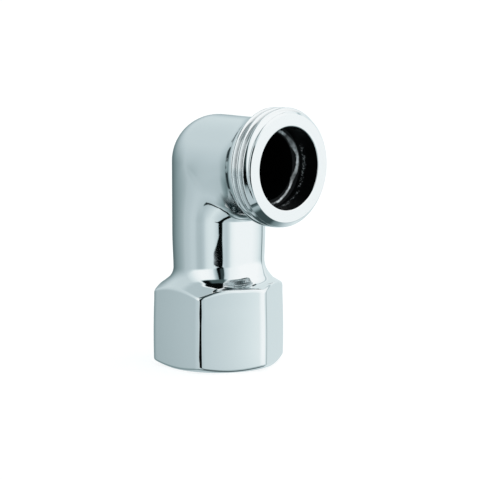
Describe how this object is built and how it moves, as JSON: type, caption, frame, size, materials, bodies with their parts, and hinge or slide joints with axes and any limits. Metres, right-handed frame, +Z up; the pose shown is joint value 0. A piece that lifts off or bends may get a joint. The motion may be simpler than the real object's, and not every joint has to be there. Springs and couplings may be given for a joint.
{
  "type": "wall outlet elbow",
  "caption": "Chromed right-angle pipe elbow for a shower or bath wall outlet, with a female pipe thread in a spanner hexagon below and a short male pipe thread facing forwards at the top.",
  "frame": {"origin": "centre of the inlet's flat face, on the axis of the female thread", "axes": "+Z runs up the inlet's axis, +X points out of the outlet, and Y lies across the plane that holds both axes"},
  "size_m": [0.0375, 0.027, 0.0594],
  "materials": {
    "chrome_plate": "polished chrome plate on brass"
  },
  "bodies": {
    "root": {"elbow_body": "chrome_plate"}
  },
  "joints": []
}
